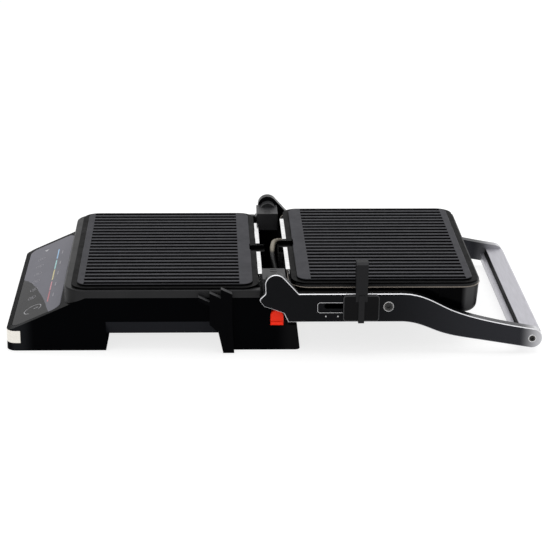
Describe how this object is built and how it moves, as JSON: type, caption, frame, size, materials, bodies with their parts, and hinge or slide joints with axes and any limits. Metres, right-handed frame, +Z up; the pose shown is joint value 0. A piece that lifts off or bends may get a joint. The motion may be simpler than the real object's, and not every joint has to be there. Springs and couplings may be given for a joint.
{
  "type": "contact grill",
  "caption": "Electric contact grill laid open flat, with ribbed removable plates, a floating lid on two arms, a touch panel and a height slider.",
  "frame": {"origin": "on the table, under the hinge axis, halfway between the two arms", "axes": "+X across the grill to the side with the height slider, +Y from the control panel to the handle, +Z up"},
  "size_m": [0.3264, 0.656, 0.121],
  "materials": {
    "body_black": "glossy black moulding",
    "frame_grey": "satin mid-grey moulding",
    "plate_coating": "dark non-stick coating on cast aluminium",
    "pan_steel": "pressed steel sheet",
    "bright_steel": "bright steel",
    "element_steel": "dark oxidised steel sheath",
    "panel_glass": "dark back-printed glass",
    "board_green": "green circuit board",
    "trim_silver": "satin silver trim",
    "cover_black": "fine-grained black moulding",
    "screw_steel": "plain steel",
    "arm_grey": "dark metallic paint on cast metal",
    "handle_silver": "satin anodised aluminium",
    "slider_black": "black moulding with satin face",
    "button_red": "glossy red moulding",
    "rubber_black": "soft black rubber"
  },
  "bodies": {
    "base": {"base_housing": "body_black", "top_frame": "frame_grey", "lower_pan": "pan_steel", "lower_heat_shield": "bright_steel", "lower_heating_element": "element_steel", "lower_temperature_sensor": "bright_steel", "control_glass": "panel_glass", "control_board": "board_green", "power_board": "board_green", "front_trim": "trim_silver", "bottom_cover": "cover_black", "bottom_screws": "screw_steel", "height_steps": "cover_black", "left_hinge_tower": "frame_grey", "right_hinge_tower": "frame_grey", "left_hinge_pin": "screw_steel", "right_hinge_pin": "screw_steel", "cord_gland": "rubber_black", "rubber_feet": "rubber_black", "lead_sleeve": "rubber_black", "release_spring": "screw_steel"},
    "arms": {"left_arm": "arm_grey", "right_arm": "arm_grey", "handle_bar": "handle_silver", "handle_strip": "cover_black", "left_handle_screw": "screw_steel", "right_handle_screw": "screw_steel", "left_pivot_screw": "bright_steel", "right_pivot_screw": "bright_steel"},
    "lid": {"lid_shell": "body_black", "lid_frame": "frame_grey", "upper_pan": "pan_steel", "upper_heat_shield": "bright_steel", "upper_heating_element": "element_steel", "upper_temperature_sensor": "bright_steel"},
    "slider": {"height_slider": "slider_black", "slider_keeper": "screw_steel"},
    "lower_grill_plate": {"lower_plate": "plate_coating"},
    "upper_grill_plate": {"upper_plate": "plate_coating"},
    "tray": {"drip_tray": "cover_black"},
    "button": {"release_button": "button_red"},
    "lower_latch": {"lower_plate_latch": "slider_black"},
    "upper_latch": {"upper_plate_latch": "slider_black"}
  },
  "joints": [
    {"name": "lid_hinge", "type": "hinge", "parent": "base", "child": "arms", "pos_m": [0, 0, 0.088], "axis": [1, 0, 0], "range_deg": [0, 180], "deforming": ["lead_sleeve"]},
    {"name": "lid_float", "type": "hinge", "parent": "arms", "child": "lid", "pos_m": [0, 0.137, 0.0628], "axis": [-1, 0, 0], "range_deg": [-5, 0]},
    {"name": "height_slide", "type": "slide", "parent": "arms", "child": "slider", "axis": [0, 1, 0], "range_m": [-0.0414, 0]},
    {"name": "lower_plate_lift", "type": "slide", "parent": "base", "child": "lower_grill_plate", "axis": [0, 0, -1], "range_m": [-0.04, 0]},
    {"name": "upper_plate_lift", "type": "slide", "parent": "lid", "child": "upper_grill_plate", "axis": [0, 0, -1], "range_m": [-0.04, 0]},
    {"name": "tray_slide", "type": "slide", "parent": "base", "child": "tray", "axis": [0, 1, 0], "range_m": [0, 0.075]},
    {"name": "release_press", "type": "slide", "parent": "base", "child": "button", "axis": [-1, 0, 0], "range_m": [0, 0.003], "stiffness_N_per_m": 300, "deforming": ["release_spring"]},
    {"name": "lower_latch_press", "type": "slide", "parent": "base", "child": "lower_latch", "axis": [1, 0, 0], "range_m": [0, 0.0025], "stiffness_N_per_m": 400},
    {"name": "upper_latch_press", "type": "slide", "parent": "lid", "child": "upper_latch", "axis": [-1, 0, 0], "range_m": [0, 0.0025], "stiffness_N_per_m": 400}
  ]
}
